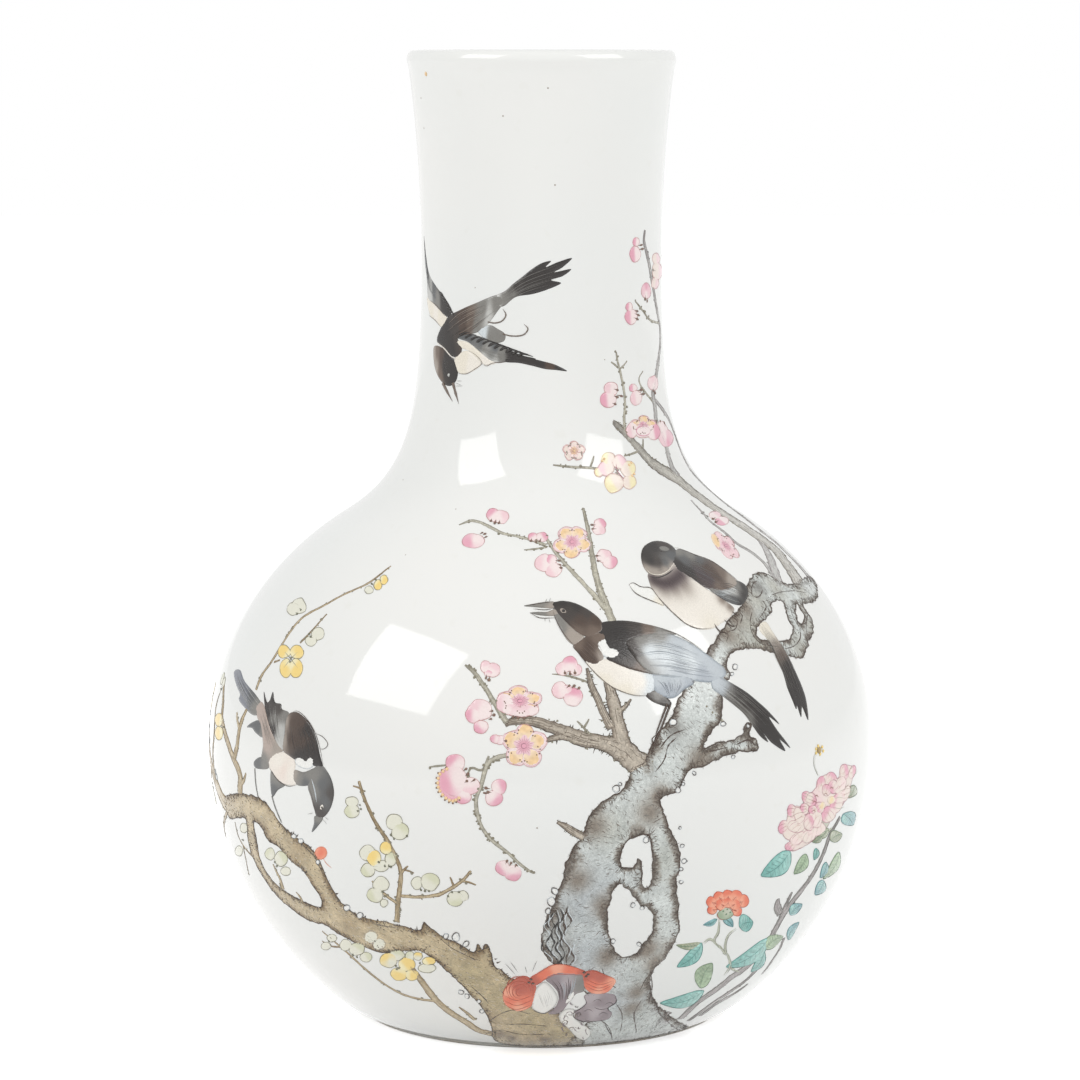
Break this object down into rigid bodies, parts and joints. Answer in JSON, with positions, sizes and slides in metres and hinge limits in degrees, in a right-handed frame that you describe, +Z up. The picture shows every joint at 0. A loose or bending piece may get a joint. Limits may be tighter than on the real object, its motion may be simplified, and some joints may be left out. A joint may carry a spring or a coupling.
{
  "type": "porcelain bottle vase",
  "caption": "Globular bottle vase with a tall waisted neck, a rounded lip and a low foot ring, built from luted thrown sections.",
  "frame": {"origin": "centre of the circle that the foot stands on, on the table's surface", "axes": "+Z up along the axis of revolution, towards the mouth; -Y faces the viewer of the picture, +X to that viewer's right"},
  "size_m": [0.2366, 0.2366, 0.34],
  "materials": {
    "glazed_porcelain": "clear gloss glaze over white porcelain, opaque, with painted overglaze enamels",
    "biscuit": "matt unglazed porcelain, lightly burnt orange at the edges",
    "slip": "satin fired slip under glaze"
  },
  "bodies": {
    "root": {"foot_ring": "biscuit", "base_disc": "glazed_porcelain", "foot_joint": "slip", "lower_body": "glazed_porcelain", "belly_joint": "slip", "upper_body": "glazed_porcelain", "neck_joint": "slip", "neck": "glazed_porcelain", "mouth_rim": "glazed_porcelain"}
  },
  "joints": []
}
